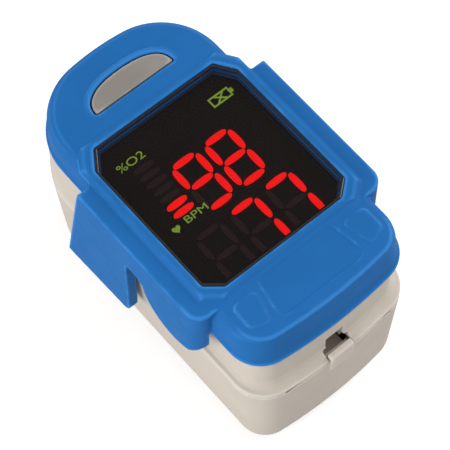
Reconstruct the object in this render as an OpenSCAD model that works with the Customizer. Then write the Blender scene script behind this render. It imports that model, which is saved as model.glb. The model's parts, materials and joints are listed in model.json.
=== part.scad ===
// Fingertip pulse oximeter: a sprung two-jaw clip with its display in the upper jaw.
// Millimetres, +Z up, origin on the base plane straight below the middle of the window.
// The finger enters from +Y, and the jaws are hinged at the -Y end, on the line where
// the two housings part.

/* [Overall] */
// Length of the lower shell and cover from the squeeze end to the finger end
body_l = 55; // [55:0.5:59]
// Width of the two shells
body_w = 29; // [29:0.25:30]
// Height from the base to the top of the window rim
body_h = 34; // [34:0.25:36]
// Height of the line where the two housings part
part_z = 18.4; // [18.3:0.1:18.6]
// Width over the side wings
wing_w = 33.7; // [33.4:0.1:34.4]

/* [Shells] */
// Corner radius of the shells at the squeeze end
corner_r = 5.4; // [5:0.1:5.8]
// Corner radius of the shells at the finger end
nose_r = 11; // [10.5:0.1:11.5]
// Rounding under the lower shell
base_r = 4.2; // [4:0.05:4.2]
// Wall thickness of the housings
wall = 1.5; // [1.4:0.05:1.6]
// Height of the cover's lower edge
cover_z = 27.5; // [27:0.1:28]

/* [Display] */
// Width of the display window
window_w = 25.6; // [24:0.1:26]
// Length of the display window
window_l = 27.8; // [26:0.1:28]
// Height of one figure
digit_h = 8.2; // [7:0.1:8.4]
// Width of one figure
digit_w = 4.15; // [3.6:0.05:4.3]

/* [Button] */
// Width of the power button
button_w = 13.7; // [12:0.1:14]
// Depth of the power button, from its straight side to its round side
button_d = 3.7; // [3.2:0.1:4]
// Travel of the power button
button_travel = 0.4; // [0.2:0.05:0.5]

/* [Finger channel] */
// Width of the opening between the pads
channel_w = 15; // [13:0.5:15]
// Height of the opening between the pads when the jaws are shut
channel_h = 8; // [7:0.25:8]
// Thickness of the soft pads
pad_t = 1.2; // [0.9:0.1:1.2]

/* [Batteries] */
// Diameter of one cell
cell_d = 10.5; // [10.1:0.1:10.5]
// Length of one cell
cell_l = 44.5; // [43.5:0.1:44.5]

/* [Hinge] */
// Diameter of the hinge pin
pin_d = 0.9; // [0.8:0.1:1]
// Largest opening angle of the jaws
open_deg = 11; // [8:1:12]

/* [Hidden] */

sliver = 0.01;
cut = 0.5;
half_w = body_w / 2;
// How far the middle of the shells lies in front of the display's middle
display_shift = 0.5;
back_y = display_shift - body_l / 2;
front_y = display_shift + body_l / 2;
bow_r = 80;
nose_bow_r = 40;

// Heights of the shells
part_gap = 0.1;
lower_top = part_z - part_gap / 2;
upper_bottom = part_z + part_gap / 2;
base_inset = 1;
base_back = back_y - 0.25;
part_back = back_y + 0.3;
cover_back = back_y + 1.35;
neck_inset = 1.5;
neck_y = -2;
cheek_inset = 0.15;
neck_z = part_z + 3.3;
flange_z = upper_bottom + 0.75;
neck_top = cover_z + 1;
rim_z = 30;
ceiling_z = 31;

// Hinge
hinge_y = part_back + 1.5;
hinge_z = part_z;
pin_r = pin_d / 2;
knuckle_r = pin_r + 0.35;
pin_fit = 0.04;
lower_knuckle_x = 2.8;
spring_x = 4.8;
upper_knuckle_x = 7.4;
pin_end_x = 9.4;
wedge_deg = open_deg + 0.6;
spring_wire_r = 0.17;

// Lanyard bar, and the cord pocket behind it
bar_x = 2.05;
pocket_x = 1.6;
pocket_y = part_back + 3.6;
pocket_z = part_z + 4.2;

// Finger channel: both jaws hold a round-bottomed trough
channel_r = (pow(channel_w / 2, 2) + pow(channel_h / 2, 2)) / channel_h;
trough_dz = channel_r - channel_h / 2;
pad_r = channel_r + pad_t;
bed_r = pad_r + 0.1;
bed_shell = 0.75;
stop_y = -9;
bed_y0 = -19;
bed_gap = 0.2;
bed_plate = 1.2;
pad_lip_w = 9.3;
pad_lip_t = 0.8;
bed_inset = wall + cheek_inset + 0.1;
bed_top = part_z + bed_gap + bed_plate;
mouth_inset = 0.9;
trough_h = 7;

// Optics
optic_y = 4;
optic_w = 5.2;
optic_l = 4.6;

// Batteries
cell_r = cell_d / 2;
cell_x = cell_r + 0.15;
cell_z = 1.75 + cell_r;
contact_t = 0.3;
bay_top = 14;
bay_inset = 1.95;
bay_back = back_y + 2.5;
rib_y = 22.6;
nub_l = 0.8;
nub_r = 1.9;
front_cell_y = rib_y - 0.05 - contact_t;
rear_cell_y = bay_back + 0.05 + contact_t;

// Battery cover
door_x = 10.3;
door_y = -21.9;
door_t = 1.55;
door_fit = 0.12;
tongue_x = 11;
tongue_z0 = 0.85;
tongue_y = 9;

// Bed screws
screw_x = 10.9;
screw_ys = [14.2, -11.5];
screw_r = 0.8;
screw_head_r = 1.45;
boss_r = 1.65;

// Upper electronics
board_z = 26.9;
board_t = 1.2;
board_top = board_z + board_t;
lens_z = 32.4;
lens_t = 1.35;
ledge_w = 0.6;

// Readings: where the first figure's lower left corner lies, and the step between figures
upper_x = -4;
upper_y = -3.1;
upper_pitch = 5.85;
lower_x = -8.5;
lower_y = -13.7;
lower_pitch = 6.15;
stroke_w = 0.92;
stroke_tip = 0.3;
stroke_pow = 0.8;
pulse_x = -8.5;
pulse_y = -0.85;
pulse_w = 3.4;
pulse_step = 1.45;

// Button
button_y = 18.05;
button_pow = 2.4;
button_top = 33.55;
button_gap = 0.22;
stem_z = 30.1;

// Wings
wing_x = wing_w / 2;
wing_wall = 1.7;
wing_top = 33.25;
wing_back = -15.7;
wing_front = 10.3;

// Crown of the cover
crown_z = body_h - 0.25;
crown_y = -15;
shoulder_z = body_h - 0.8;
shoulder_inset = 1.6;
shoulder_back = cover_back - 0.1;
shoulder_y = shoulder_back + shoulder_inset;
mark_h = 0.16;
rest_depth = 0.22;

blue = [0.14, 0.42, 0.72];
beige = [0.83, 0.79, 0.74];
silicone = [0.62, 0.64, 0.66];
board_green = [0.1, 0.4, 0.22];
steel = [0.75, 0.76, 0.78];
smoke = [0.09, 0.07, 0.07, 0.8];

// ---------------------------------------------------------------- shared outlines

// Outline of the shells seen from above, shrunk by inset, with its squeeze end at back
module plan(inset = 0, back = back_y) {
  low = end_cy(-1, back, corner_r, bow_r);
  high = end_cy(1, front_y, nose_r, nose_bow_r);
  plan_end(-1, back, corner_r, bow_r, inset);
  plan_end(1, front_y, nose_r, nose_bow_r, inset);
  translate([inset - half_w, low])
    square([2 * (half_w - inset), high - low]);
}

// Y of the corner centres of an end whose bow touches y = tip; dir is 1 for the finger end
function end_cy(dir, tip, corner, bow) =
  tip - dir * bow + dir * sqrt(pow(bow - corner, 2) - pow(half_w - corner, 2));

// One end of the outline: two corner arcs and a shallow bow that meets them smoothly
module plan_end(dir, tip, corner, bow, inset) {
  corner_y = end_cy(dir, tip, corner, bow);
  tangent_x = (half_w - corner) * (bow - inset) / (bow - corner);
  for (side = [-1, 1])
    translate([side * (half_w - corner), corner_y])
      circle(r = corner - inset, $fn = 96);
  intersection() {
    translate([0, tip - dir * bow])
      circle(r = bow - inset, $fn = 360);
    translate([-tangent_x, min(corner_y, tip + dir * cut)])
      square([2 * tangent_x, abs(tip + dir * cut - corner_y)]);
  }
}

// A paper-thin slice of the outline, for hulls
module slab(z, inset = 0, back = back_y) {
  translate([0, 0, z])
    linear_extrude(sliver)
      plan(inset, back);
}

// A straight-sided block on the outline
module block(z0, z1, inset = 0, back = back_y) {
  translate([0, 0, z0])
    linear_extrude(z1 - z0)
      plan(inset, back);
}

// A box given by its corners
module span(low, high) {
  translate(low)
    cube(high - low);
}

// A round bar along X, centred on the hinge
module hinge_bar(r, x0, x1) {
  translate([x0, hinge_y, hinge_z])
    rotate([0, 90, 0])
      cylinder(h = x1 - x0, r = r, $fn = 48);
}

// A round bar along Y
module y_bar(r, x, z, y0, y1) {
  translate([x, y1, z])
    rotate([90, 0, 0])
      cylinder(h = y1 - y0, r = r, $fn = 96);
}

// Both sides of the object
module both() {
  children();
  mirror([1, 0, 0])
    children();
}

// Tube swept along a list of points; up is any direction that no stretch runs along
module swept_wire(points, r, up, sides = 8) {
  n = len(points);
  rings = [for (i = [0 : n - 1])
    let (
      ahead = points[min(i + 1, n - 1)] - points[max(i - 1, 0)],
      t = ahead / norm(ahead),
      u0 = cross(t, up),
      u = u0 / norm(u0),
      v = cross(t, u))
    [for (k = [0 : sides - 1]) points[i] + r * (cos(360 * k / sides) * u + sin(360 * k / sides) * v)]];
  skin = [for (i = [0 : n - 2], k = [0 : sides - 1])
    let (a = i * sides + k, b = i * sides + (k + 1) % sides)
    [a, b, b + sides, a + sides]];
  start = [for (k = [sides - 1 : -1 : 0]) k];
  finish = [for (k = [0 : sides - 1]) (n - 1) * sides + k];
  polyhedron(points = [for (ring = rings) each ring], faces = concat(skin, [start, finish]), convexity = 6);
}

// ---------------------------------------------------------------- lower jaw

// Outside of the lower shell: walls that lean in a little, down to a well rounded base
module lower_form() {
  hull() {
    block(lower_top - 0.8, lower_top, 0, part_back);
    block(base_r, base_r + 0.5, base_inset, base_back);
    for (a = [0 : 15 : 90])
      slab(base_r * (1 - sin(a)), base_inset + base_r * (1 - cos(a)), base_back);
  }
}

// Space that the battery cover takes up, grown by fit
module door_space(fit) {
  span([-door_x - fit, door_y - fit, -cut], [door_x + fit, front_y + cut, door_t + fit]);
  span([-tongue_x - fit, door_y - fit, tongue_z0 - fit], [tongue_x + fit, tongue_y, door_t + fit]);
  span([-3 - fit, door_y - 1.3 - fit, tongue_z0 - fit], [3 + fit, door_y, door_t + fit]);
}

// Hollow of the lower shell; the battery bay has a flat rear wall for the contacts
module lower_cavity() {
  sump_z = 3.4;
  sump_inset = 3.05;
  step_z = 11;
  intersection() {
    union() {
      block(door_t + 0.1, sump_z, sump_inset, back_y - 1.2);
      block(sump_z - sliver, step_z, bay_inset);
      block(step_z - sliver, bay_top, wall);
    }
    span([-half_w, bay_back, 0], [half_w, front_y, bay_top]);
  }
  block(bay_top - sliver, part_z + cut, wall, part_back);
}

// Wall across the bay that carries the front contacts
module contact_rib() {
  intersection() {
    span([-half_w, rib_y, 2.6], [half_w, rib_y + 1, 11.5]);
    block(0, bay_top, bay_inset - 0.3);
  }
}

// Posts for the bed screws, hanging from the side walls
module lower_bosses() {
  for (side = [-1, 1], y = screw_ys)
    intersection() {
      union() {
        translate([side * screw_x, y, 12.1])
          cylinder(h = 4.8, r = boss_r, $fn = 32);
        span([side > 0 ? screw_x : -half_w, y - 0.8, 12.1],
             [side > 0 ? half_w : -screw_x, y + 0.8, 16.9]);
      }
      block(0, part_z, wall - 0.3, part_back);
    }
}

// Bar at the squeeze end that holds a cord, and the floor of the pocket behind it
module lanyard_bar() {
  span([-bar_x, part_back - 0.3, part_z - 2.2], [bar_x, part_back + 0.75, part_z + 1.6]);
  span([-bar_x, part_back, part_z - 2.2], [bar_x, pocket_y, part_z - 1.4]);
}

module lower_knuckles() {
  both()
    intersection() {
      union() {
        hinge_bar(knuckle_r, lower_knuckle_x, spring_x - 0.2);
        span([lower_knuckle_x, part_back + 0.35, hinge_z - 3.4],
             [spring_x - 0.2, hinge_y + knuckle_r, hinge_z]);
      }
      span([0, part_back + 0.35, 0], [half_w, hinge_y + 5, body_h]);
    }
}

module lower_housing() {
  color(beige)
    difference() {
      union() {
        difference() {
          lower_form();
          lower_cavity();
        }
        contact_rib();
        lower_bosses();
        lanyard_bar();
        lower_knuckles();
      }
      door_space(door_fit);
      both() {
        span([tongue_x - 1, tongue_y - cut, tongue_z0 - door_fit],
             [tongue_x + door_fit, front_y, door_t + door_fit]);
        hinge_bar(knuckle_r + 0.12, spring_x - 0.05, pin_end_x + 0.3);
        hinge_bar(pin_r + 0.01, 2.2, pin_end_x + 0.3);
      }
      y_bar(bed_r + 0.1, 0, part_z + trough_dz, rib_y, front_y + cut);
      translate([0, 0, part_z + trough_dz])
        mouth_flare(bed_r + 0.1);
      for (side = [-1, 1], y = screw_ys)
        translate([side * screw_x, y, 12.6])
          cylinder(h = 6, r = screw_r, $fn = 24);
      lanyard_slit();
    }
}

// Cone that opens the mouth of the finger channel outwards
module mouth_flare(r) {
  translate([0, front_y + 0.6, 0])
    rotate([90, 0, 0])
      cylinder(h = 2.2, r1 = r + 2.2, r2 = r, $fn = 96);
}

// Way out for a cord below the lanyard bar
module lanyard_slit() {
  span([0.7, back_y - cut, part_z - 3.2], [2.2, part_back + 1.6, part_z - 2.35]);
}

module battery_cover() {
  color(beige)
    difference() {
      union() {
        intersection() {
          lower_form();
          span([-door_x, door_y, -cut], [door_x, front_y + cut, door_t]);
        }
        both()
          span([door_x - 1, door_y, tongue_z0], [tongue_x, tongue_y - 1, door_t]);
        span([-3, door_y - 1.3, tongue_z0], [3, door_y + 1, door_t]);
      }
      // Thumb grip: a shallow well with ridges left standing in it
      for (i = [0 : 4])
        span([-5, 12.5 + 1.5 * i, -cut], [5, 13.4 + 1.5 * i, 0.45]);
      // Arrow that shows which way the cover slides
      translate([0, 7.6, -cut])
        linear_extrude(cut + 0.35)
          polygon([[-2.6, 0], [2.6, 0], [0, 3]]);
    }
}

// One cell along Y, with its nub at the end that dir points to
module cell(x, y0, dir) {
  nub_y = dir > 0 ? y0 + cell_l - nub_l : y0;
  can_y = dir > 0 ? y0 : y0 + nub_l;
  crimp_y = dir > 0 ? can_y + cell_l - nub_l - 2.4 : can_y + 1.8;
  difference() {
    y_bar(cell_r, x, cell_z, can_y, can_y + cell_l - nub_l);
    difference() {
      y_bar(cell_r + 1, x, cell_z, crimp_y, crimp_y + 0.6);
      y_bar(cell_r - 0.2, x, cell_z, crimp_y - cut, crimp_y + 1);
    }
  }
  y_bar(nub_r, x, cell_z, nub_y, nub_y + nub_l);
}

module battery_cells() {
  color([0.72, 0.55, 0.25]) {
    cell(-cell_x, front_cell_y - cell_l, 1);
    cell(cell_x, rear_cell_y, -1);
  }
}

// Plates that the cells press on, one across the front and one behind each cell
module battery_contacts() {
  color(steel) {
    span([-8.6, front_cell_y, 4], [8.6, front_cell_y + contact_t, 10.6]);
    both() {
      span([1.4, bay_back + 0.05, 4], [8.6, bay_back + 0.05 + contact_t, 10.6]);
      span([1.4, bay_back + 0.05, 10], [2.6, bay_back + 0.05 + contact_t, 12.8]);
    }
  }
}

// Points of a spring that narrows from its plate to the cell
function cone_spring(x, y0, y1, turns) = [
  for (i = [0 : 20 * turns])
    let (f = i / (20 * turns), r = 3.3 - 1.5 * f)
    [x + r * cos(18 * i), y0 + (y1 - y0) * f, cell_z + r * sin(18 * i)]];

module battery_springs() {
  wire = 0.25;
  color(steel) {
    swept_wire(cone_spring(-cell_x, rear_cell_y + wire, front_cell_y - cell_l - wire, 2.5),
               wire, [0, 1, 0]);
    swept_wire(cone_spring(cell_x, front_cell_y - wire, rear_cell_y + cell_l + wire, 2.5),
               wire, [0, 1, 0]);
  }
}

// Two wires from the rear contacts up to the flex cable
module battery_wires() {
  wire = 0.28;
  y = bay_back + 0.05 + contact_t + wire;
  color([0.65, 0.1, 0.1])
    both()
      swept_wire([for (i = [0 : 12])
        let (f = i / 12)
        [2 - 1.1 * f, y + 5 * pow(f, 2), 12.6 + 2.4 * f]],
        wire, [1, 0, 0]);
}

// Plate round the trough: the floor that a bed shows when the jaws are open.
// side is 1 for the upper jaw and -1 for the lower one; both are drawn as the upper one.
module bed(side) {
  mid = part_z - side * trough_dz;
  face = part_z + side * bed_gap;
  plate_z = min(face, face + side * bed_plate);
  trough_far = face + side * trough_h;
  difference() {
    union() {
      nose_block(plate_z, plate_z + bed_plate, bed_inset, bed_y0);
      // Shell of the trough, and the wall that stops the fingertip
      intersection() {
        y_bar(bed_r + bed_shell, 0, mid, stop_y - pad_t - 1, front_y);
        nose_block(min(face, trough_far), max(face, trough_far), bed_inset, bed_y0);
      }
    }
    y_bar(bed_r, 0, mid, stop_y - pad_t - 0.1, front_y + cut);
    // Room for the pad's lip
    span([-pad_lip_w - 0.1, stop_y - 2.2, min(face - side, face + side * (pad_lip_t + 0.1))],
         [pad_lip_w + 0.1, front_y + cut, max(face - side, face + side * (pad_lip_t + 0.1))]);
    span([-optic_w / 2 - 0.1, optic_y - optic_l / 2 - 0.1, min(mid, mid + side * 14)],
         [optic_w / 2 + 0.1, optic_y + optic_l / 2 + 0.1, max(mid, mid + side * 14)]);
    for (s = [-1, 1], y = screw_ys)
      translate([s * screw_x, y, 0])
        screw_hole(face, side);
  }
}

// Block that fills the finger end within the walls, with corners cut in short flats
module nose_block(z0, z1, inset, y0) {
  corner_x = half_w - nose_r;
  corner_y = end_cy(1, front_y, nose_r, nose_bow_r);
  r = nose_r - inset;
  right = [for (a = [0 : 9 : 90]) [corner_x + r * cos(a), corner_y + r * sin(a)]];
  left = [for (a = [90 : 9 : 180]) [r * cos(a) - corner_x, corner_y + r * sin(a)]];
  translate([0, 0, z0])
    linear_extrude(z1 - z0)
      polygon(concat([[-corner_x - r, y0], [corner_x + r, y0]], right, left));
}

// Hole for one bed screw, with a seat for its head in the face of the bed
module screw_hole(face, side) {
  translate([0, 0, face - 3])
    cylinder(h = 6, r = screw_r + 0.15, $fn = 24);
  translate([0, 0, side > 0 ? face - 1 : face - 0.75])
    cylinder(h = 1.75, r = screw_head_r + 0.12, $fn = 32);
}

// Soft pad: a trough with a lip along its sides and a wall at the fingertip end
module finger_pad(side) {
  mid = part_z - side * trough_dz;
  face = part_z + side * bed_gap;
  lip_far = face + side * pad_lip_t;
  trough_far = face + side * trough_h;
  difference() {
    union() {
      intersection() {
        y_bar(pad_r, 0, mid, stop_y - pad_t, front_y);
        nose_block(min(face, trough_far), max(face, trough_far), mouth_inset, bed_y0);
      }
      intersection() {
        span([-pad_lip_w, stop_y - 2, 0], [pad_lip_w, front_y, body_h]);
        nose_block(min(face, lip_far), max(face, lip_far), bed_inset, bed_y0);
      }
    }
    translate([0, 0, mid])
      finger_bore();
    span([-optic_w / 2, optic_y - optic_l / 2, min(mid, mid + side * 14)],
         [optic_w / 2, optic_y + optic_l / 2, max(mid, mid + side * 14)]);
    translate([0, 0, mid])
      mouth_flare(channel_r);
  }
}

// Round bore that ends in a round pocket for the fingertip
module finger_bore() {
  length = front_y + cut - stop_y - channel_r;
  translate([0, stop_y + channel_r, 0])
    rotate([90, 0, 0])
      rotate_extrude($fn = 96) {
        intersection() {
          circle(r = channel_r, $fn = 96);
          square(channel_r);
        }
        translate([0, -length])
          square([channel_r, length + sliver]);
      }
}

// Pan-head screw whose head faces the finger channel
module bed_screw(side) {
  face = part_z + side * bed_gap;
  seat = face + side * 0.7;
  tip = seat + side * 4.4;
  difference() {
    translate([0, 0, min(face + side * 0.05, seat)])
      cylinder(h = 0.65, r = screw_head_r, $fn = 32);
    for (turn = [0, 90])
      translate([0, 0, face + side * 0.2])
        rotate([0, 0, turn])
          cube([1.7, 0.35, 0.5], center = true);
  }
  translate([0, 0, min(seat - side * 0.1, tip)])
    cylinder(h = abs(tip - seat) + 0.1, r = screw_r, $fn = 24);
}

module bed_screws(side) {
  for (s = [-1, 1], y = screw_ys)
    translate([s * screw_x, y, 0])
      bed_screw(side);
}

module lower_finger_bed() {
  color(beige)
    difference() {
      bed(-1);
      // Slot for the flex cable behind the fingertip stop
      span([-3.2, bed_y0 - cut, 0], [3.2, bed_y0 + 1.2, body_h]);
    }
}

module lower_finger_pad() {
  color(silicone)
    finger_pad(-1);
}

module lower_bed_screws() {
  color(steel)
    bed_screws(-1);
}

// Floor of the lower channel at the optic
function floor_z() = part_z - channel_h / 2;

module sensor_board() {
  color(board_green)
    span([-2.4, optic_y - 4, floor_z() - 2.7], [2.4, optic_y + 4, floor_z() - 2.1]);
}

module photodiode() {
  color([0.12, 0.12, 0.14])
    difference() {
      span([-1.8, optic_y - 1.6, floor_z() - 2.1], [1.8, optic_y + 1.6, floor_z() - 1.1]);
      span([-1.3, optic_y - 1.1, floor_z() - 1.25], [1.3, optic_y + 1.1, floor_z() - 1]);
    }
}

// Clear window set in a pad opening, from z0 up to z1
module optic_window(z0, z1) {
  span([-optic_w / 2, optic_y - optic_l / 2, z0], [optic_w / 2, optic_y + optic_l / 2, z1]);
}

module sensor_lens() {
  color([0.85, 0.9, 0.95, 0.5])
    optic_window(floor_z() - 1.05, floor_z() - 0.15);
}

// ---------------------------------------------------------------- hinge

module hinge_pin() {
  color(steel)
    both()
      hinge_bar(pin_r, 2.4, pin_end_x);
}

// Torsion spring round the pin: a leg under the lower bed, the coil, a leg over the upper bed
function spring_path(turns) =
  let (
    coil_r = pin_r + 0.3,
    steps = 18 * turns,
    x0 = spring_x + 0.35,
    x1 = x0 + 1.7,
    leg_dz = bed_gap + bed_plate + spring_wire_r + 0.08)
  concat(
    [[x0, bed_y0 + 2, hinge_z - leg_dz], [x0, bed_y0 - 0.5, hinge_z - leg_dz]],
    [for (i = [0 : steps])
      let (a = -90 - 20 * i)
      [x0 + (x1 - x0) * i / steps, hinge_y + coil_r * cos(a), hinge_z + coil_r * sin(a)]],
    [[x1, bed_y0 - 0.5, hinge_z + leg_dz], [x1, bed_y0 + 2, hinge_z + leg_dz]]);

module jaw_springs() {
  color(steel)
    both()
      swept_wire(spring_path(3.5), spring_wire_r, [1, 0, 0]);
}

// Ribbon from the lower board to the upper one, bent round the hinge side of the stop
module flex_cable() {
  color([0.75, 0.5, 0.15])
    translate([-2.2, 0, 0])
      rotate([90, 0, 90])
        linear_extrude(4.4)
          ribbon_outline(0.16);
}

// Side view of the ribbon: a line of points given thickness t
module ribbon_outline(t) {
  ys = [for (i = [0 : 12]) -18.9 + 0.9 * sin(15 * i)];
  zs = [for (i = [0 : 12]) 13.4 + 13.3 * i / 12];
  near = [for (i = [0 : 12]) [ys[i], zs[i]]];
  far = [for (i = [12 : -1 : 0]) [ys[i] - t, zs[i]]];
  polygon(concat(near, far));
}

// ---------------------------------------------------------------- upper jaw

// Outside of the upper housing: a flange at the parting line that curves in to a neck
module upper_form() {
  steps = 4;
  for (i = [0 : steps - 1])
    hull()
      for (j = [i, i + 1])
        upper_tier(90 * j / steps);
  block(neck_top - sliver, rim_z, neck_inset + 1.2, part_back + 0.35);
  // In front of the neck the sides run straight up to the cover
  intersection() {
    block(upper_bottom, cover_z - 0.05, cheek_inset);
    span([-half_w, neck_y, 0], [half_w, front_y, body_h]);
  }
}

// Slice of that curve at angle a: 0 is the flange, 90 is the neck
module upper_tier(a) {
  z = flange_z + (neck_z - flange_z) * (1 - cos(a));
  z0 = a == 0 ? upper_bottom : z;
  z1 = a == 90 ? neck_top : max(z, flange_z) + (a == 0 ? 0 : sliver);
  block(z0, z1, neck_inset * sin(a), part_back + 0.35 * sin(a));
}

module upper_cavity() {
  step_z = bed_top + 0.1;
  block(part_z - cut, step_z, wall, part_back + 0.7);
  block(step_z - sliver, 26.6, neck_inset + 1.3, part_back + 0.35);
  block(26.6 - sliver, rim_z + cut, neck_inset + 2.2, part_back + 0.35);
  intersection() {
    block(step_z - sliver, 25.5, wall + cheek_inset);
    span([-half_w, neck_y + wall, 0], [half_w, front_y, body_h]);
  }
}

// Walls of the pocket that takes the cord behind the lanyard bar
module cord_pocket() {
  span([-bar_x - 0.55, part_back + 2, upper_bottom], [bar_x + 0.55, pocket_y + 0.8, pocket_z + 0.8]);
}

module upper_bosses() {
  for (side = [-1, 1], y = screw_ys)
    intersection() {
      translate([side * screw_x, y, part_z + bed_gap + bed_plate + 0.05])
        cylinder(h = board_z - part_z - bed_gap - bed_plate - 0.05, r = boss_r, $fn = 32);
      block(part_z, body_h, neck_inset + 1, part_back + 0.35);
    }
}

module upper_knuckles() {
  both()
    hinge_bar(knuckle_r, upper_knuckle_x, pin_end_x);
}

// Wedge of free space behind the hinge, so that the jaw can turn
module hinge_wedge() {
  far = 3;
  rise = far * tan(wedge_deg);
  translate([-half_w, 0, 0])
    rotate([90, 0, 90])
      linear_extrude(body_w)
        polygon([[hinge_y, part_z], [hinge_y, upper_bottom], [hinge_y - far, upper_bottom + rise],
                 [hinge_y - far, part_z]]);
}

module upper_housing() {
  color(beige)
    difference() {
      union() {
        difference() {
          upper_form();
          upper_cavity();
          hinge_wedge();
        }
        upper_bosses();
        upper_knuckles();
        cord_pocket();
      }
      both() {
        hinge_bar(knuckle_r + 0.12, lower_knuckle_x - 0.15, upper_knuckle_x - 0.15);
        hinge_bar(pin_r + pin_fit, 2.2, pin_end_x + 0.2);
      }
      // Room for the upper legs of the springs
      both()
        span([spring_x, hinge_y, hinge_z], [upper_knuckle_x - 0.15, hinge_y + 1, hinge_z + 1.2]);
      // Notch round the lanyard bar, and the cord window over it
      span([-bar_x - 0.2, part_back - 1, part_z - 1], [bar_x + 0.2, part_back + 2.4, part_z + 1.8]);
      span([-pocket_x, part_back - 1, part_z], [pocket_x, pocket_y, pocket_z]);
      y_bar(bed_r + 0.1, 0, part_z - trough_dz, rib_y, front_y + cut);
      translate([0, 0, part_z - trough_dz])
        mouth_flare(bed_r + 0.1);
      for (side = [-1, 1], y = screw_ys)
        translate([side * screw_x, y, part_z])
          cylinder(h = 6.3, r = screw_r, $fn = 24);
    }
}

module upper_finger_bed() {
  color(beige)
    difference() {
      bed(1);
      span([-3.2, bed_y0 - cut, 0], [3.2, bed_y0 + 1.2, body_h]);
    }
}

module upper_finger_pad() {
  color(silicone)
    finger_pad(1);
}

module upper_bed_screws() {
  color(steel)
    bed_screws(1);
}

// Ceiling of the upper channel at the optic
function roof_z() = part_z + channel_h / 2;

module emitter_board() {
  color(board_green)
    span([-4, optic_y - 4.5, roof_z() + 2.2], [4, optic_y + 4.5, roof_z() + 2.9]);
}

// Package with two dies, red and infrared
module emitter_leds() {
  color([0.95, 0.95, 0.9])
    difference() {
      span([-1.8, optic_y - 1.5, roof_z() + 1.1], [1.8, optic_y + 1.5, roof_z() + 2.2]);
      span([-1.3, optic_y - 1, roof_z() + 1], [-0.2, optic_y + 1, roof_z() + 1.4]);
      span([0.2, optic_y - 1, roof_z() + 1], [1.3, optic_y + 1, roof_z() + 1.4]);
    }
}

module emitter_lens() {
  color([0.85, 0.9, 0.95, 0.5])
    optic_window(roof_z() + 0.15, roof_z() + 1.05);
}

module display_board() {
  color(board_green)
    difference() {
      intersection() {
        block(board_z, board_top, neck_inset + 2.4, part_back + 0.35);
        span([-half_w, -17.5, 0], [half_w, 23.2, body_h]);
      }
      for (side = [-1, 1])
        translate([side * 8.6, -15.4, board_z - 1])
          cylinder(h = 4, r = 1, $fn = 24);
    }
}

// Processor, amplifier, crystal, a row of small parts and the driver, under the board
module board_chips() {
  color([0.13, 0.13, 0.14]) {
    span([-3.2, -8.5, board_z - 1.1], [3.2, -2.1, board_z]);
    span([-7.6, -4.5, board_z - 0.9], [-4.4, 0.4, board_z]);
    span([4.6, -6, board_z - 1], [8.4, -1, board_z]);
    span([4.4, 10, board_z - 1.2], [6.2, 14.5, board_z]);
    for (i = [0 : 5])
      span([-7.5 + 1.9 * i, -12.2, board_z - 0.55], [-6.5 + 1.9 * i, -11.6, board_z]);
  }
}

module switch_body() {
  color(steel)
    difference() {
      span([-2.25, button_y - 0.6, board_top], [2.25, button_y + 3.9, board_top + 1]);
      translate([0, button_y + 1.65, board_top + 0.35])
        cylinder(h = 1, r = 1.25, $fn = 32);
    }
}

module switch_plunger() {
  color([0.15, 0.15, 0.15])
    translate([0, button_y + 1.65, board_top + 0.35 + button_travel + 0.05])
      cylinder(h = stem_z - board_top - 0.4 - button_travel, r = 1.15, $fn = 32);
}

// Oval stroke between two points, full in the middle and blunt at its ends
module stroke(a, b, width, height) {
  d = b - a;
  half = norm(d) / 2;
  translate([(a[0] + b[0]) / 2, (a[1] + b[1]) / 2, 0])
    rotate([0, 0, atan2(d[1], d[0])])
      linear_extrude(height)
        polygon([for (t = [0 : 20 : 340])
          [half * sign(cos(t)) * pow(abs(cos(t)), stroke_pow),
           width / 2 * sign(sin(t)) * pow(abs(sin(t)), stroke_pow)]]);
}

// One seven-segment figure; lit says which of a to g are on
module figure(x, y, lit, height) {
  mid = digit_h / 2;
  ends = [
    [[0, digit_h], [digit_w, digit_h]], [[digit_w, digit_h], [digit_w, mid]],
    [[digit_w, mid], [digit_w, 0]], [[0, 0], [digit_w, 0]], [[0, mid], [0, 0]],
    [[0, digit_h], [0, mid]], [[0, mid], [digit_w, mid]]];
  for (i = [0 : 6])
    if (lit[i]) {
      a = ends[i][0];
      b = ends[i][1];
      u = (b - a) / norm(b - a);
      translate([x, y, 0])
        stroke(a + stroke_tip * u, b - stroke_tip * u, stroke_w, height);
    }
}

// Light pipes of the two readings and of the pulse bar
module lit_shapes(height) {
  nine = [true, true, true, true, false, true, true];
  eight = [true, true, true, true, true, true, true];
  seven = [true, true, true, false, false, false, false];
  figure(upper_x, upper_y, nine, height);
  figure(upper_x + upper_pitch, upper_y, eight, height);
  intersection() {
    for (i = [1, 2])
      figure(lower_x + i * lower_pitch, lower_y, seven, height);
    span([-half_w, -window_l / 2 + ledge_w + 0.55, -1], [half_w, 0, 10]);
  }
  for (i = [0, 1])
    stroke([pulse_x, pulse_y + pulse_step * i], [pulse_x + pulse_w, pulse_y + pulse_step * i],
           stroke_w, height);
}

module display_segments() {
  color([1, 0.05, 0.03])
    translate([0, 0, lens_z - 0.45])
      lit_shapes(0.4);
}

// Light box of the figures, glued on the board, with a slot round each light pipe
module display_module() {
  color([0.08, 0.06, 0.06])
    difference() {
      union() {
        span([-10.4, -12.8, board_top], [10.4, 12.8, ceiling_z + 0.1]);
        translate([0, 0, ceiling_z + 0.05])
          linear_extrude(lens_z - ceiling_z - 0.1)
            window_outline(ledge_w + 0.15);
      }
      translate([0, 0, lens_z - 0.5])
        linear_extrude(1)
          window_outline(ledge_w + 0.5);
    }
}

// Window outline, shrunk by inset: the corners are cut deeper at its far end
module window_outline(inset) {
  w = window_w / 2 - inset;
  l = window_l / 2 - inset;
  polygon([[-w, l - 3], [-w + 2.05, l], [w - 2.05, l], [w, l - 3],
           [w, 2 - l], [w - 2.4, -l], [2.4 - w, -l], [-w, 2 - l]]);
}

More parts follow.
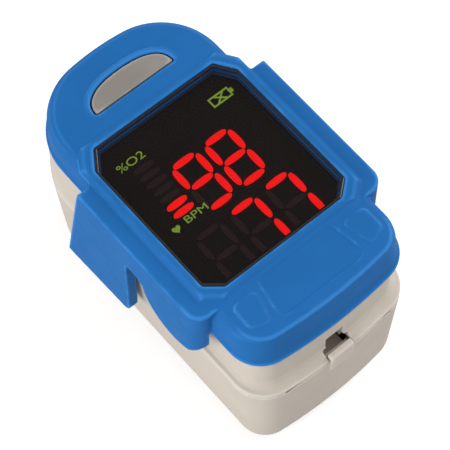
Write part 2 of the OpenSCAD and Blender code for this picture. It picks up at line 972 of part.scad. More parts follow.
module display_window() {
  color(smoke)
    translate([0, 0, lens_z])
      linear_extrude(lens_t)
        window_outline(0.1);
}

// ---------------------------------------------------------------- top cover

// Button outline: straight towards the window, round towards the finger end
module button_outline(grow = 0) {
  a = button_w / 2 + grow;
  b = button_d + grow;
  polygon([for (t = [0 : 5 : 180])
    [a * sign(cos(t)) * pow(abs(cos(t)), 2 / button_pow),
     button_y + b * pow(sin(t), 2 / button_pow)]]);
}

module button_block(z0, z1, grow, back = 0) {
  translate([0, 0, z0])
    linear_extrude(z1 - z0) {
      button_outline(grow);
      translate([-button_w / 2 - grow, button_y - back])
        square([button_w + 2 * grow, back + sliver]);
    }
}

// Side view of a wing: a slanted cheek flap, a slot, then a rounded flap
module wing_profile() {
  slot_z = 27.4;
  arc_cy = -10.1;
  arc_ry = 6.35;
  arc_rz = 6.5;
  r = 1.4;
  polygon(concat(
    [[wing_front - 0.6, wing_top + 1], [wing_front, wing_top - 1.5], [14.1, 11]],
    [for (a = [-90 : -15 : -180]) [1.2 + r * cos(a), 12.1 + r + r * sin(a)]],
    [for (a = [0 : 22.5 : 180]) [-1.65 + 1.45 * cos(a), slot_z - 0.8 + 0.8 * sin(a)]],
    [for (a = [-5 : -7 : -180]) [arc_cy + arc_ry * cos(a), slot_z - 0.2 + arc_rz * sin(a)]],
    [[wing_back + 0.1, wing_top + 1]]));
}

// Wing outline from above, with a round front corner
module wing_plan(inset) {
  r = 2.4 - inset;
  x1 = wing_x - inset;
  hull() {
    translate([x1 - r, wing_back + inset + r])
      circle(r = r, $fn = 48);
    translate([half_w - 3, wing_back + inset])
      square([1, 1]);
    translate([half_w - 3, wing_front + 3.8 - inset])
      square([wing_x - half_w + 2 - inset, 0.5]);
    translate([x1 - 1, wing_front + 4])
      square([1, 0.3]);
  }
}

module wing() {
  intersection() {
    translate([half_w - 3, 0, 0])
      rotate([90, 0, 90])
        linear_extrude(wing_x)
          wing_profile();
    linear_extrude(wing_top)
      wing_plan(0);
    union() {
      span([half_w - 3, wing_back, cover_z], [wing_x + 1, wing_front + 1.5, wing_top]);
      span([wing_x - wing_wall, wing_back, 0], [wing_x + 1, 20, cover_z + 1]);
      span([half_w + 0.15, wing_back, 23.5], [wing_x, wing_back + 1.6, cover_z + 1]);
    }
  }
}

// Main form of the cover: a lip, walls that lean in, and a crown that falls to its edges
module cover_form() {
  hull() {
    slab(cover_z, 0.12, cover_back);
    slab(cover_z + 0.25, 0, cover_back);
    slab(cover_z + 0.6, 0.05, cover_back);
    slab(cover_z + 0.95, 0.35, cover_back);
  }
  hull() {
    slab(cover_z + 0.3, 0.35, cover_back);
    slab(31.2, 0.42, cover_back + 0.6);
    slab(32, 0.62, cover_back + 0.65);
    slab(32.6, 0.92, cover_back + 0.5);
    slab(shoulder_z, shoulder_inset, shoulder_back);
    translate([0, 0, crown_z - sliver])
      linear_extrude(sliver)
        intersection() {
          plan(4, cover_back);
          translate([-half_w, crown_y])
            square([body_w, 1 - 2 * crown_y]);
        }
  }
}

// Rim round the display window, standing a little above the crown
module window_rim() {
  hull() {
    translate([0, 0, 33])
      linear_extrude(sliver)
        window_outline(-1.75);
    translate([0, 0, body_h - 0.25])
      linear_extrude(sliver)
        window_outline(-1.25);
    translate([0, 0, body_h - sliver])
      linear_extrude(sliver)
        window_outline(-0.95);
  }
}

// Places its children on the crown's slope at the squeeze end, with z = 0 on the surface
module on_crown() {
  translate([0, crown_y, crown_z])
    rotate([atan((crown_z - shoulder_z) / (crown_y - shoulder_y)), 0, 0])
      translate([0, -crown_y, 0])
        children();
}

// Raised marks and the shallow thumb rest at the squeeze end
module thumb_marks() {
  both()
    on_crown()
      translate([-10.1, -19.05, -0.6])
        linear_extrude(0.6 + mark_h)
          offset(r = 0.9, $fn = 24)
            polygon([[-0.9, 1.5], [1.4, 1.5], [0.55, -1.6], [-0.9, -1.1]]);
}

module thumb_rest() {
  on_crown()
    translate([0, 0, -rest_depth])
      linear_extrude(2)
        offset(r = 1.2, $fn = 32)
          polygon([[-5.4, -17], [5.4, -17], [6.1, -20.9], [-6.1, -20.9]]);
}

module cover_cavity() {
  block(cover_z - cut, neck_top + 0.1, neck_inset - 0.05, part_back + 0.3);
  block(neck_top, ceiling_z, neck_inset + 1.15, part_back + 0.35);
  both()
    span([half_w - 4, wing_back + 1.6, cover_z - cut], [wing_x - wing_wall, wing_front - 1.6, 31.6]);
}

module top_cover() {
  color(blue)
    difference() {
      union() {
        cover_form();
        window_rim();
        both()
          wing();
        button_block(32.6, 33.72, 1.15, 0.4);
        thumb_marks();
      }
      cover_cavity();
      // Seat of the display window and the opening under it
      translate([0, 0, lens_z - 0.02])
        linear_extrude(3)
          window_outline(0);
      translate([0, 0, ceiling_z - 1])
        linear_extrude(3)
          window_outline(ledge_w);
      button_block(ceiling_z - 1, body_h + 1, button_gap, button_gap);
      button_block(ceiling_z - 1, 31.75, button_gap + 0.75, button_gap + 0.6);
      thumb_rest();
    }
}

module power_button() {
  color([0.6, 0.58, 0.55]) {
    button_block(31.4, button_top, 0);
    button_block(31, 31.5, 0.6, 0.5);
    translate([0, button_y + 1.65, stem_z])
      cylinder(h = 31.2 - stem_z, r = 1.6, $fn = 32);
  }
}

lower_housing();
battery_cover();
battery_cells();
battery_springs();
battery_contacts();
battery_wires();
lower_finger_bed();
lower_finger_pad();
lower_bed_screws();
sensor_board();
photodiode();
sensor_lens();
hinge_pin();
jaw_springs();
flex_cable();
upper_housing();
upper_finger_bed();
upper_finger_pad();
upper_bed_screws();
emitter_board();
emitter_leds();
emitter_lens();
display_board();
board_chips();
switch_body();
display_module();
display_segments();
display_window();
top_cover();
switch_plunger();
power_button();
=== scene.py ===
"""Looks of the fingertip pulse oximeter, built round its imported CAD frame. Metres, same axes as the CAD."""

import json
import math

import bmesh
import bpy
import numpy as np
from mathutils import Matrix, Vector


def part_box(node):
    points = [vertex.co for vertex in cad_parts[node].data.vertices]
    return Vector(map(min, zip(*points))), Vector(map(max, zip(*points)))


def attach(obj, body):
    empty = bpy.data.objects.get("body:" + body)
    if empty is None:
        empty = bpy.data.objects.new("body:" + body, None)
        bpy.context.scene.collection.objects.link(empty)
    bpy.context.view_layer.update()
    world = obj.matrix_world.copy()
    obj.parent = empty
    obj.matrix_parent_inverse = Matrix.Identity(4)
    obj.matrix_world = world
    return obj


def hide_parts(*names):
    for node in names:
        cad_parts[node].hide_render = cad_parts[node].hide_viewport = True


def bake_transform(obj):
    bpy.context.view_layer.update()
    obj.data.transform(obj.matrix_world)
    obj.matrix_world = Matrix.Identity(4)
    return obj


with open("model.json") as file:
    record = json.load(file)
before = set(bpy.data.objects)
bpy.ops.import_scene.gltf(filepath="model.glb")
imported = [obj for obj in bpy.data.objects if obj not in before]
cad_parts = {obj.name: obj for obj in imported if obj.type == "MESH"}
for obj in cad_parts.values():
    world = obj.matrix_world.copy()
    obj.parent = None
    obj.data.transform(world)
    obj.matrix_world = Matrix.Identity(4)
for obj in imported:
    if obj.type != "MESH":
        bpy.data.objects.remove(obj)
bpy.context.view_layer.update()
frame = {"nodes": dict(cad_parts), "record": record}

MM = 0.001
NODES = frame["nodes"]
BODY_OF = {node: body for body, nodes in frame["record"]["behaviour"]["bodies"].items() for node in nodes}
SLOT_OF = {s["node"]: s["material_slot"] for s in frame["record"]["subparts"]}


# ------------------------------------------------------------------ colours and materials


def linear(code):
    """Linear RGBA of an sRGB colour written as #rrggbb."""
    channels = [int(code[i : i + 2], 16) / 255 for i in (1, 3, 5)]
    return [c / 12.92 if c <= 0.04045 else ((c + 0.055) / 1.055) ** 2.4 for c in channels] + [1.0]


class Shader:
    """A node material with one Principled shader, and short ways to add what feeds it."""

    def __init__(self, name):
        self.material = bpy.data.materials.new(name)
        self.material.use_nodes = True
        self.tree = self.material.node_tree
        self.tree.nodes.clear()
        output = self.add("ShaderNodeOutputMaterial")
        self.surface = self.add("ShaderNodeBsdfPrincipled")
        self.tree.links.new(self.surface.outputs[0], output.inputs["Surface"])
        self.place = self.add("ShaderNodeTexCoord").outputs["Object"]
        self.last_normal = None

    def add(self, kind):
        return self.tree.nodes.new(kind)

    def join(self, source, target):
        if isinstance(source, bpy.types.NodeSocket):
            self.tree.links.new(source, target)
        else:
            target.default_value = source

    def set(self, **values):
        for name, value in values.items():
            self.join(value, self.surface.inputs[name.replace("_", " ")])
        return self

    def noise(self, size, detail=3.0, place=None):
        """Noise between about 0.3 and 0.7 whose features are size metres across."""
        node = self.add("ShaderNodeTexNoise")
        self.join(place or self.place, node.inputs["Vector"])
        node.inputs["Scale"].default_value = 1 / size
        node.inputs["Detail"].default_value = detail
        return node.outputs["Fac"]

    def ramp(self, value, low, high, to_low=0.0, to_high=1.0):
        """value taken from low..high to to_low..to_high, held at the ends."""
        node = self.add("ShaderNodeMapRange")
        self.join(value, node.inputs["Value"])
        for name, number in zip(("From Min", "From Max", "To Min", "To Max"), (low, high, to_low, to_high)):
            node.inputs[name].default_value = number
        return node.outputs["Result"]

    def mix(self, share, first, second):
        node = self.add("ShaderNodeMix")
        node.data_type = "RGBA"
        self.join(share, node.inputs["Factor"])
        self.join(first, node.inputs["A"])
        self.join(second, node.inputs["B"])
        return node.outputs["Result"]

    def maths(self, how, first, second):
        node = self.add("ShaderNodeMath")
        node.operation = how
        self.join(first, node.inputs[0])
        self.join(second, node.inputs[1])
        return node.outputs[0]

    def edges(self, low, high):
        """0 to 1 as a convex edge bends from low to high, in 1/mm, from the bend stored on the mesh."""
        node = self.add("ShaderNodeAttribute")
        node.attribute_name = "bend"
        return self.ramp(node.outputs["Fac"], low, high)

    def bump(self, height, distance):
        """Adds relief of this depth in metres to what is there already."""
        node = self.add("ShaderNodeBump")
        self.join(height, node.inputs["Height"])
        node.inputs["Distance"].default_value = distance
        if self.last_normal is not None:
            self.join(self.last_normal, node.inputs["Normal"])
        self.last_normal = node.outputs["Normal"]
        self.join(self.last_normal, self.surface.inputs["Normal"])
        return self


def moulded(name, code, rough, shine, grain, depth, vary=0.05, edge_highlight=None, edge=(0.3, 1.2)):
    """Moulded plastic: slow colour drift, fine grain, uneven gloss, and a lighter colour painted along convex
    edges as a painted highlight.
    """
    s = Shader(name)
    colour = linear(code)
    dark = [c * (1 - vary) for c in colour[:3]] + [1]
    light = [min(1, c * (1 + vary)) for c in colour[:3]] + [1]
    body = s.mix(s.ramp(s.noise(9 * MM), 0.35, 0.65), dark, light)
    # Painted highlight: the lighter colour is mixed in where the surface bends outwards, standing in for
    # light caught by rounded edges.
    if edge_highlight:
        body = s.mix(s.maths("MULTIPLY", s.edges(*edge), 0.6), body, linear(edge_highlight))
    patchy = s.ramp(s.noise(2.5 * MM, 4), 0.3, 0.7, rough - 0.05, rough + 0.06)
    s.set(Base_Color=body, Roughness=patchy, Specular_IOR_Level=shine)
    return s.bump(s.noise(grain, 2), depth).material


def metal(name, code, rough, stretch, depth):
    """Drawn or brushed metal: fine lines along stretch, with slight tarnish."""
    s = Shader(name)
    scale = s.add("ShaderNodeMapping")
    s.join(s.place, scale.inputs["Vector"])
    scale.inputs["Scale"].default_value = stretch
    lines = s.noise(0.12 * MM, 2, scale.outputs["Vector"])
    tint = linear(code)
    dull = [c * 0.72 for c in tint[:3]] + [1]
    s.set(
        Base_Color=s.mix(s.ramp(s.noise(1.5 * MM), 0.4, 0.7), tint, dull),
        Metallic=1.0,
        Roughness=s.ramp(lines, 0.3, 0.7, rough - 0.08, rough + 0.1),
    )
    return s.bump(lines, depth).material


def silicone(name, code):
    """Soft matt rubber with a faint moulding bloom and fine pores."""
    s = Shader(name)
    base = linear(code)
    bloom = [min(1, c * 1.25) for c in base[:3]] + [1]
    s.set(
        Base_Color=s.mix(s.ramp(s.noise(4 * MM, 5), 0.4, 0.75), base, bloom),
        Roughness=s.ramp(s.noise(0.8 * MM), 0.3, 0.7, 0.55, 0.72),
        Specular_IOR_Level=0.35,
        Subsurface_Weight=0.08,
        Subsurface_Radius=(0.4 * MM, 0.4 * MM, 0.4 * MM),
        Sheen_Weight=0.12,
    )
    s.bump(s.noise(0.35 * MM, 4), 0.02 * MM)
    return s.material


def circuit_board(name):
    """Solder mask over copper tracks: a grid of raised lines in a lighter tone."""
    s = Shader(name)
    weave = s.add("ShaderNodeTexBrick")
    s.join(s.place, weave.inputs["Vector"])
    for key, value in {"Scale": 600, "Mortar Size": 0.035, "Mortar Smooth": 0.2}.items():
        weave.inputs[key].default_value = value
    tracks = weave.outputs["Fac"]
    mask = s.mix(s.ramp(s.noise(3 * MM), 0.4, 0.6), linear("#0b5a30"), linear("#0e6b3a"))
    s.set(Base_Color=s.mix(tracks, mask, linear("#1f8a50")), Roughness=0.34, Specular_IOR_Level=0.5)
    s.bump(tracks, 0.03 * MM)
    return s.bump(s.noise(0.3 * MM), 0.005 * MM).material


def smoked_window(name):
    """Dark acrylic that lets the lit figures through, with faint smears on its gloss."""
    s = Shader(name)
    smear = s.noise(14 * MM, 2)
    tone = s.mix(s.ramp(smear, 0.3, 0.7), linear("#150f0e"), linear("#1b1413"))
    s.set(
        Base_Color=tone,
        Alpha=WINDOW_ALPHA,
        Roughness=s.ramp(smear, 0.35, 0.7, 0.05, 0.11),
        Specular_IOR_Level=0.22,
    )
    return s.bump(s.noise(20 * MM, 1), 0.004 * MM).material


def lit(name, code, strength, spread):
    """Something that glows: a light pipe with a slightly grainy diffuser."""
    s = Shader(name)
    colour = linear(code)
    grain = s.ramp(s.noise(0.25 * MM, 2), 0.3, 0.7, 1 - spread, 1 + spread)
    s.set(
        Base_Color=colour,
        Roughness=0.5,
        Emission_Color=colour,
        Emission_Strength=s.maths("MULTIPLY", grain, strength),
    )
    return s.material


def clear_lens(name):
    """Clear moulded window over a diode, a little hazy."""
    s = Shader(name)
    haze = s.ramp(s.noise(1.2 * MM, 4), 0.35, 0.7, 0.06, 0.18)
    s.set(Base_Color=linear("#e6eef2"), Roughness=haze, Alpha=0.4, Specular_IOR_Level=0.6)
    return s.bump(s.noise(2 * MM), 0.01 * MM).material


def cell_sleeve(name):
    """Battery sleeve: a dark body with a copper band at the positive end, slightly scuffed."""
    s = Shader(name)
    split = s.add("ShaderNodeSeparateXYZ")
    s.join(s.place, split.inputs["Vector"])
    side = s.maths("LESS_THAN", split.outputs["X"], 0.0)
    front_band, rear_band = 8 * MM, -14 * MM
    forward = s.maths("GREATER_THAN", split.outputs["Y"], front_band)
    backward = s.maths("LESS_THAN", split.outputs["Y"], rear_band)
    band = s.add("ShaderNodeMix")
    s.join(side, band.inputs["Factor"])
    s.join(backward, band.inputs["A"])
    s.join(forward, band.inputs["B"])
    scuffs = s.ramp(s.noise(1.5 * MM, 6), 0.55, 0.75)
    sleeve = s.mix(band.outputs["Result"], linear("#2a2b2e"), linear("#b8722e"))
    s.set(
        Base_Color=s.mix(s.maths("MULTIPLY", scuffs, 0.3), sleeve, linear("#9a9a9a")),
        Metallic=0.55,
        Roughness=s.ramp(s.noise(3 * MM), 0.3, 0.7, 0.28, 0.42),
    )
    return s.bump(s.noise(0.6 * MM, 3), 0.01 * MM).material


def ribbon(name):
    """Polyimide ribbon with copper tracks along its length."""
    s = Shader(name)
    waves = s.add("ShaderNodeTexWave")
    s.join(s.place, waves.inputs["Vector"])
    waves.bands_direction = "X"
    waves.inputs["Scale"].default_value = 550
    waves.inputs["Distortion"].default_value = 0.0
    tracks = s.ramp(waves.outputs["Fac"], 0.45, 0.6)
    s.set(
        Base_Color=s.mix(tracks, linear("#8a4d10"), linear("#c9822c")),
        Roughness=s.ramp(s.noise(2 * MM), 0.3, 0.7, 0.28, 0.4),
        Specular_IOR_Level=0.6,
    )
    return s.bump(tracks, 0.02 * MM).material


WINDOW_ALPHA = 0.42
FIGURE_LIGHT = 2.1

MATERIALS = {
    # The last colour given to shell_beige, cover_blue and button_grey is a painted highlight along their
    # convex edges.
    "shell_beige": moulded("shell_beige", "#cac0b4", 0.5, 0.2, 0.16 * MM, 0.01 * MM, 0.03, "#e0d9cf"),
    "cover_blue": moulded(
        "cover_blue", "#2269ad", 0.5, 0.06, 0.22 * MM, 0.004 * MM, 0.04, "#3f8fdc", (0.2, 0.9)
    ),
    "button_grey": moulded("button_grey", "#8c8780", 0.45, 0.3, 0.18 * MM, 0.014 * MM, 0.07, "#b4aea4"),
    "window_smoke": smoked_window("window_smoke"),
    "segment_red": lit("segment_red", "#ff0000", FIGURE_LIGHT, 0.1),
    # Painted glow: the dark unlit segments get a faint emission so that they show dimly through the smoked
    # window.
    "unlit_segment_painted_glow": lit("unlit_segment_painted_glow", "#3c0e12", 0.15, 0.3),
    "label_green": lit("label_green", "#8aa834", 1.5, 0.15),
    "window_edge": moulded("window_edge", "#1d1411", 0.22, 0.5, 0.3 * MM, 0.002 * MM, 0.1),
    "display_black": moulded("display_black", "#160e0e", 0.8, 0.05, 0.5 * MM, 0.001 * MM, 0.1),
    "silicone_grey": silicone("silicone_grey", "#8d9196"),
    "board_green": circuit_board("board_green"),
    "chip_black": moulded("chip_black", "#1c1c1f", 0.55, 0.35, 0.12 * MM, 0.02 * MM, 0.15),
    "package_white": moulded("package_white", "#ecebe2", 0.4, 0.4, 0.2 * MM, 0.01 * MM, 0.04),
    "lens_clear": clear_lens("lens_clear"),
    "spring_steel": metal("spring_steel", "#b9bcc2", 0.28, (1, 1, 1), 0.004 * MM),
    "contact_nickel": metal("contact_nickel", "#cfcdc4", 0.22, (0.1, 1, 1), 0.004 * MM),
    "pin_steel": metal("pin_steel", "#b4b6bb", 0.25, (1, 0.15, 0.15), 0.003 * MM),
    "screw_steel": metal("screw_steel", "#a3a6ab", 0.36, (1, 1, 0.3), 0.006 * MM),
    "cell_sleeve": cell_sleeve("cell_sleeve"),
    "wire_red": moulded("wire_red", "#a81c1c", 0.4, 0.4, 0.2 * MM, 0.01 * MM, 0.1),
    "cable_amber": ribbon("cable_amber"),
    "switch_steel": metal("switch_steel", "#bcbcbc", 0.3, (0.2, 1, 1), 0.004 * MM),
    "plunger_black": moulded("plunger_black", "#121212", 0.5, 0.3, 0.15 * MM, 0.01 * MM, 0.15),
}


def paint(obj, look):
    """Gives obj the one material listed under look."""
    obj.data.materials.clear()
    obj.data.materials.append(MATERIALS[look])


# ------------------------------------------------------------------ pieces made from the CAD shells


def new_piece(name, mesh, body, look, smooth=True):
    obj = bpy.data.objects.new(name, mesh)
    bpy.context.scene.collection.objects.link(obj)
    for face in mesh.polygons:
        face.use_smooth = smooth
    paint(obj, look)
    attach(obj, body)
    return obj


def welded(node):
    """A copy of a CAD node's mesh with its split corners joined again."""
    bm = bmesh.new()
    bm.from_mesh(NODES[node].data)
    bmesh.ops.remove_doubles(bm, verts=bm.verts, dist=1e-7)
    mesh = bpy.data.meshes.new(node + "_welded")
    bm.to_mesh(mesh)
    bm.free()
    return mesh


def store_bend(mesh, passes=6):
    """Keeps on each vertex how sharply the surface bends outwards there, in 1/mm, evened out a little."""
    count = len(mesh.vertices)
    places = np.empty(count * 3)
    mesh.vertices.foreach_get("co", places)
    places = places.reshape(-1, 3)
    normals = np.empty(count * 3)
    mesh.vertices.foreach_get("normal", normals)
    normals = normals.reshape(-1, 3)
    pairs = np.empty(len(mesh.edges) * 2, dtype=np.int64)
    mesh.edges.foreach_get("vertices", pairs)
    first, second = pairs.reshape(-1, 2).T
    ends = np.concatenate([first, second])
    others = np.concatenate([second, first])
    degree = np.maximum(np.bincount(ends, minlength=count), 1)
    steps = places[others] - places[ends]
    drop = -np.einsum("ij,ij->i", steps, normals[ends])
    reach = np.maximum(np.einsum("ij,ij->i", steps, steps), 1e-12)
    bend = np.bincount(ends, weights=2 * drop / reach, minlength=count) / degree * MM
    bend = np.clip(bend, -3, 3)
    nearness = 1 / np.sqrt(reach)
    total = np.bincount(ends, weights=nearness, minlength=count) + 1e-12
    for _ in range(passes):
        around = np.bincount(ends, weights=bend[others] * nearness, minlength=count) / total
        bend = 0.5 * bend + 0.5 * around
    layer = mesh.attributes.new("bend", "FLOAT", "POINT")
    layer.data.foreach_set("value", bend.astype(np.float32))


def soften(node, name, voxel, passes, faces):
    """Stands in for a CAD shell with the same form, but with edges rounded as a mould leaves them."""
    draft = bpy.data.objects.new(name + "_draft", welded(node))
    bpy.context.scene.collection.objects.link(draft)
    grid = draft.modifiers.new("grid", "REMESH")
    grid.mode = "VOXEL"
    grid.voxel_size = voxel
    relax = draft.modifiers.new("relax", "SMOOTH")
    relax.factor = 0.5
    relax.iterations = passes
    thin = draft.modifiers.new("thin", "DECIMATE")
    graph = bpy.context.evaluated_depsgraph_get()
    count = len(draft.evaluated_get(graph).data.polygons) * 2
    thin.ratio = min(1.0, faces / count)
    graph = bpy.context.evaluated_depsgraph_get()
    mesh = bpy.data.meshes.new_from_object(draft.evaluated_get(graph))
    bpy.data.objects.remove(draft)
    store_bend(mesh)
    obj = new_piece(name, mesh, BODY_OF[node], SLOT_OF[node])
    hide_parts(node)
    return obj


# CAD node: piece name, voxel in millimetres, rounds of smoothing, most faces
SHELLS = {
    "top_cover": ("top_cover_shell", 0.16, 8, 170000),
    "upper_housing": ("upper_housing_shell", 0.14, 4, 90000),
    "lower_housing": ("lower_housing_shell", 0.14, 4, 90000),
    "battery_cover": ("battery_cover_shell", 0.16, 2, 30000),
    "power_button": ("power_button_cap", 0.12, 5, 12000),
    "upper_finger_pad": ("upper_pad_soft", 0.25, 6, 20000),
    "lower_finger_pad": ("lower_pad_soft", 0.25, 6, 20000),
}

for cad_node, (piece_name, voxel_mm, relaxing, face_count) in SHELLS.items():
    soften(cad_node, piece_name, voxel_mm * MM, relaxing, face_count)


# ------------------------------------------------------------------ springs, wires and the ribbon


def wire_piece(node, name, parts=1):
    """Stands in for a CAD wire or ribbon: the same form with smooth faces, its edges cut into the given
    number of parts.
    """
    mesh = welded(node)
    bm = bmesh.new()
    bm.from_mesh(mesh)
    if parts > 1:
        bmesh.ops.subdivide_edges(bm, edges=bm.edges, cuts=parts - 1, use_grid_fill=True)
    bm.to_mesh(mesh)
    bm.free()
    obj = bpy.data.objects.new(name, mesh)
    bpy.context.scene.collection.objects.link(obj)
    for face in mesh.polygons:
        face.use_smooth = True
    paint(obj, SLOT_OF[node])
    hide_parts(node)
    return obj


torsion_springs = wire_piece("jaw_springs", "torsion_springs")
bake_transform(torsion_springs)

ribbon_piece = wire_piece("flex_cable", "flex_ribbon", 3)
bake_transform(ribbon_piece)

for cad_node, piece_name in {"battery_springs": "cell_springs", "battery_wires": "cell_wires"}.items():
    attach(wire_piece(cad_node, piece_name), BODY_OF[cad_node])
WIRES = ("jaw_springs", "flex_cable", "battery_springs", "battery_wires")

for cad_node, obj in NODES.items():
    if cad_node not in SHELLS and cad_node not in WIRES:
        paint(obj, SLOT_OF[cad_node])


# ------------------------------------------------------------------ what shows through the window

# Millimetres, in the CAD frame: the figures' size, their corners and the lower ones' step
FIGURE_W, FIGURE_H, STROKE_W, STROKE_TIP = 4.15, 8.2, 0.92, 0.3
UPPER_AT, LOWER_AT = (-4.0, -3.1), (-8.5, -13.7)
LOWER_STEP = 6.15
PULSE_AT, PULSE_STEP, PULSE_SIZE = (-6.8, -0.85), 1.45, (3.4, 0.95)
# How far the lower reading stops above the window's lower edge
READING_FOOT = 1.2
# Half the thickness of the printed labels
LABEL_HALF_T = 0.02
# Segments a to g that stay dark in each figure
DARK_NINE, DARK_SEVEN, DARK_ALL = "e", "defg", "abcdefg"
# Bars of the pulse column that stay dark, counted from its foot
PULSE_DARK = range(2, 7)
window_low, window_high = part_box("display_window")
figures_low, figures_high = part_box("display_segments")


def oval_outline(a, b, width, steps=18, power=0.8):
    """Points round a stroke from a to b: full in its middle and blunt at its ends."""
    a, b = Vector(a), Vector(b)
    half = (b - a).length / 2 - STROKE_TIP
    along = (b - a).normalized()
    across = Vector((-along.y, along.x))
    points = []
    for i in range(steps):
        c, d = math.cos(2 * math.pi * i / steps), math.sin(2 * math.pi * i / steps)
        forth = half * math.copysign(abs(c) ** power, c)
        aside = width / 2 * math.copysign(abs(d) ** power, d)
        points.append((a + b) / 2 + along * forth + across * aside)
    return points


def figure_strokes(x, y, names):
    """Outlines of the named segments of a seven-segment figure whose lower left corner is at x, y."""
    w, h, mid = FIGURE_W, FIGURE_H, FIGURE_H / 2
    ends = {
        "a": ((0, h), (w, h)),
        "b": ((w, h), (w, mid)),
        "c": ((w, mid), (w, 0)),
        "d": ((0, 0), (w, 0)),
        "e": ((0, mid), (0, 0)),
        "f": ((0, h), (0, mid)),
        "g": ((0, mid), (w, mid)),
    }
    origin = Vector((x, y))
    return [oval_outline(origin + Vector(ends[n][0]), origin + Vector(ends[n][1]), STROKE_W) for n in names]


def slab_shapes(name, outlines, z0, z1, look):
    """One piece made of flat outlines in millimetres, each given a thickness from z0 to z1 in metres."""
    bm = bmesh.new()
    for outline in outlines:
        low_ring = [bm.verts.new((p[0] * MM, p[1] * MM, z0)) for p in outline]
        high_ring = [bm.verts.new((p[0] * MM, p[1] * MM, z1)) for p in outline]
        bm.faces.new(low_ring[::-1])
        bm.faces.new(high_ring)
        for i in range(len(outline)):
            j = (i + 1) % len(outline)
            bm.faces.new((low_ring[i], low_ring[j], high_ring[j], high_ring[i]))
    bmesh.ops.recalc_face_normals(bm, faces=bm.faces)
    mesh = bpy.data.meshes.new(name)
    bm.to_mesh(mesh)
    bm.free()
    return new_piece(name, mesh, "upper_jaw", look, smooth=False)


def bar(x, y, w, h):
    return [(x - w / 2, y - h / 2), (x + w / 2, y - h / 2), (x + w / 2, y + h / 2), (x - w / 2, y + h / 2)]


def clipped(outlines, lowest):
    """Outlines with what lies below y = lowest cut away, and those that hardly reach above it left out."""
    kept = []
    for outline in outlines:
        points = [(p[0], max(p[1], lowest)) for p in outline]
        if max(p[1] for p in points) - lowest > 0.3:
            kept.append(points)
    return kept


def unlit_figures():
    x, y = UPPER_AT
    shapes = figure_strokes(x, y, DARK_NINE)
    x, y = LOWER_AT
    shapes += figure_strokes(x, y, DARK_ALL)
    for step in (1, 2):
        shapes += figure_strokes(x + step * LOWER_STEP, y, DARK_SEVEN)
    shapes = clipped(shapes, window_low[1] / MM + READING_FOOT)
    for step in PULSE_DARK:
        y = PULSE_AT[1] + step * PULSE_STEP
        reach = PULSE_SIZE[0] / 2 + STROKE_TIP
        shapes.append(oval_outline((PULSE_AT[0] - reach, y), (PULSE_AT[0] + reach, y), PULSE_SIZE[1]))
    # The unlit strokes carry a faint painted glow.
    slab_shapes("unlit_figures", shapes, figures_low[2], figures_high[2] - 0.1 * MM, "unlit_segment_painted_glow")


def text_outline_mesh(name, words, x, y, height, width):
    """Flat lettering of generic units, scaled to the height and width given in millimetres."""
    curve = bpy.data.curves.new(name, "FONT")
    curve.body = words
    curve.extrude = LABEL_HALF_T
    draft = bpy.data.objects.new(name + "_draft", curve)
    bpy.context.scene.collection.objects.link(draft)
    graph = bpy.context.evaluated_depsgraph_get()
    mesh = bpy.data.meshes.new_from_object(draft.evaluated_get(graph))
    bpy.data.objects.remove(draft)
    xs = [v.co.x for v in mesh.vertices]
    ys = [v.co.y for v in mesh.vertices]
    scale_x = width / (max(xs) - min(xs))
    scale_y = height / (max(ys) - min(ys))
    for v in mesh.vertices:
        v.co = (
            (x + (v.co.x - min(xs)) * scale_x) * MM,
            (y + (v.co.y - min(ys)) * scale_y) * MM,
            figures_high[2] + v.co.z * MM,
        )
    new_piece(name, mesh, "upper_jaw", "label_green", smooth=False)


def frame_outline(x0, y0, x1, y1, line):
    """Four bars round a rectangle."""
    mid_x, mid_y = (x0 + x1) / 2, (y0 + y1) / 2
    return [
        bar(mid_x, y0, x1 - x0 + line, line),
        bar(mid_x, y1, x1 - x0 + line, line),
        bar(x0, mid_y, line, y1 - y0 - line),
        bar(x1, mid_y, line, y1 - y0 - line),
    ]


def tilted_bar(a, b, line):
    along = Vector(b) - Vector(a)
    across = Vector((-along.y, along.x)).normalized() * line / 2
    return [Vector(a) - across, Vector(b) - across, Vector(b) + across, Vector(a) + across]


def symbols():
    """Battery sign with a cross in it, and a heart beside the rate."""
    x0, y0, x1, y1, line = 6.9, 8.85, 10.15, 10.25, 0.26
    shapes = frame_outline(x0, y0, x1, y1, line)
    shapes.append(bar(x1 + 0.35, (y0 + y1) / 2, 0.45, 0.7))
    mid = (x0 + x1) / 2
    shapes.append(tilted_bar((mid - 0.75, y0 + 0.1), (mid + 0.75, y1 - 0.1), line))
    shapes.append(tilted_bar((mid - 0.75, y1 - 0.1), (mid + 0.75, y0 + 0.1), line))
    heart = []
    heart_x, heart_y, heart_size = -9.45, -2.55, 0.041
    for i in range(36):
        t = 2 * math.pi * i / 36
        hx = 16 * math.sin(t) ** 3
        hy = 13 * math.cos(t) - 5 * math.cos(2 * t) - 2 * math.cos(3 * t) - math.cos(4 * t)
        heart.append((heart_x - heart_size * hx, heart_y + heart_size * hy))
    shapes.append(heart)
    z = figures_high[2]
    slab_shapes("window_symbols", shapes, z - LABEL_HALF_T * MM, z + LABEL_HALF_T * MM, "label_green")


def window_ring(inset, z):
    """Points of the window's outline, shrunk by inset millimetres, at height z in metres."""
    w = window_high[0] / MM - inset
    l = window_high[1] / MM - inset
    # How far the corners are cut, along the width and along the length
    near, far = (2.4, 2.0), (2.05, 3.0)
    points = [(-w, l - far[1]), (far[0] - w, l), (w - far[0], l), (w, l - far[1])]
    points += [(w, near[1] - l), (w - near[0], -l), (near[0] - w, -l), (-w, near[1] - l)]
    return [(x * MM, y * MM, z) for x, y in points]


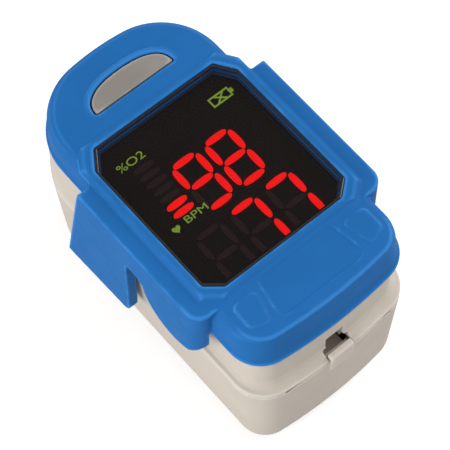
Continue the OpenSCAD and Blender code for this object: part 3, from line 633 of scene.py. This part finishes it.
def window_bevel():
    """Polished bevel round the window's upper edge, which catches the light along the left side."""
    top = window_high[2]
    levels = [(0.0, top - 0.1 * MM), (0.0, top), (0.08, top + 0.04 * MM), (0.2, top + 0.03 * MM), (0.26, top)]
    bm = bmesh.new()
    rings = [[bm.verts.new(p) for p in window_ring(inset, z)] for inset, z in levels]
    for outer, inner in zip(rings, rings[1:] + rings[:1]):
        for i in range(8):
            j = (i + 1) % 8
            bm.faces.new((outer[i], outer[j], inner[j], inner[i]))
    bmesh.ops.recalc_face_normals(bm, faces=bm.faces)
    mesh = bpy.data.meshes.new("window_bevel")
    bm.to_mesh(mesh)
    bm.free()
    new_piece("window_bevel", mesh, "upper_jaw", "window_edge", smooth=False)


unlit_figures()
symbols()
text_outline_mesh("label_oxygen", "%O2", -9.9, 9.0, 1.25, 4.5)
text_outline_mesh("label_rate", "BPM", -7.7, -2.85, 1.1, 3.75)
window_bevel()


# ------------------------------------------------------------------ floor, light and camera


def floor():
    mesh = bpy.data.meshes.new("floor")
    bm = bmesh.new()
    bmesh.ops.create_grid(bm, x_segments=8, y_segments=8, size=6)
    bm.to_mesh(mesh)
    bm.free()
    obj = bpy.data.objects.new("floor", mesh)
    obj.location.z = -0.05 * MM
    bpy.context.scene.collection.objects.link(obj)
    s = Shader("floor_pale")
    s.set(
        Base_Color=s.mix(s.ramp(s.noise(0.3), 0.4, 0.6), linear("#cfcfcf"), linear("#d4d4d4")),
        Roughness=0.9,
        Specular_IOR_Level=0.0,
        Emission_Color=linear("#ffffff"),
        Emission_Strength=s.maths("MULTIPLY", s.add("ShaderNodeLightPath").outputs["Is Camera Ray"], 0.55),
    )
    mesh.materials.append(s.material)


def softbox(name, azimuth, elevation, distance, size, power):
    """A square area light that faces the object. Azimuth 0 stands at -Y and 90 at +X."""
    middle = Vector((0, 0, 0.02))
    a, e = math.radians(azimuth), math.radians(elevation)
    back = Vector((math.sin(a) * math.cos(e), -math.cos(a) * math.cos(e), math.sin(e)))
    light = bpy.data.lights.new(name, "AREA")
    light.shape = "SQUARE"
    light.size = size
    light.energy = power
    obj = bpy.data.objects.new(name, light)
    bpy.context.scene.collection.objects.link(obj)
    obj.location = middle + back * distance
    obj.rotation_euler = back.to_track_quat("Z", "Y").to_euler()


def studio():
    world = bpy.data.worlds.new("studio")
    bpy.context.scene.world = world
    world.use_nodes = True
    sky = world.node_tree.nodes["Background"]
    sky.inputs["Color"].default_value = (1, 1, 1, 1)
    sky.inputs["Strength"].default_value = 0.58
    softbox("key_light", -92, 14, 0.9, 0.6, 6)
    softbox("fill_light", 84, 34, 1.2, 0.8, 9)


def camera():
    """Stands where the photograph's camera stood, found from the outline of the window and the shells."""
    azimuth, elevation, distance = math.radians(-40.18), math.radians(62.76), 0.2783
    target = Vector((-4.547, -6.912, 34.0)) * MM
    back = Vector(
        (
            math.sin(azimuth) * math.cos(elevation),
            -math.cos(azimuth) * math.cos(elevation),
            math.sin(elevation),
        )
    )
    data = bpy.data.cameras.new("camera")
    data.sensor_width = 36
    data.lens = 164.86
    data.clip_start, data.clip_end = 0.01, 10
    obj = bpy.data.objects.new("camera", data)
    bpy.context.scene.collection.objects.link(obj)
    obj.location = target + back * distance
    obj.rotation_euler = back.to_track_quat("Z", "Y").to_euler()
    bpy.context.scene.camera = obj


floor()
studio()
camera()
bpy.context.scene.view_settings.view_transform = "Standard"
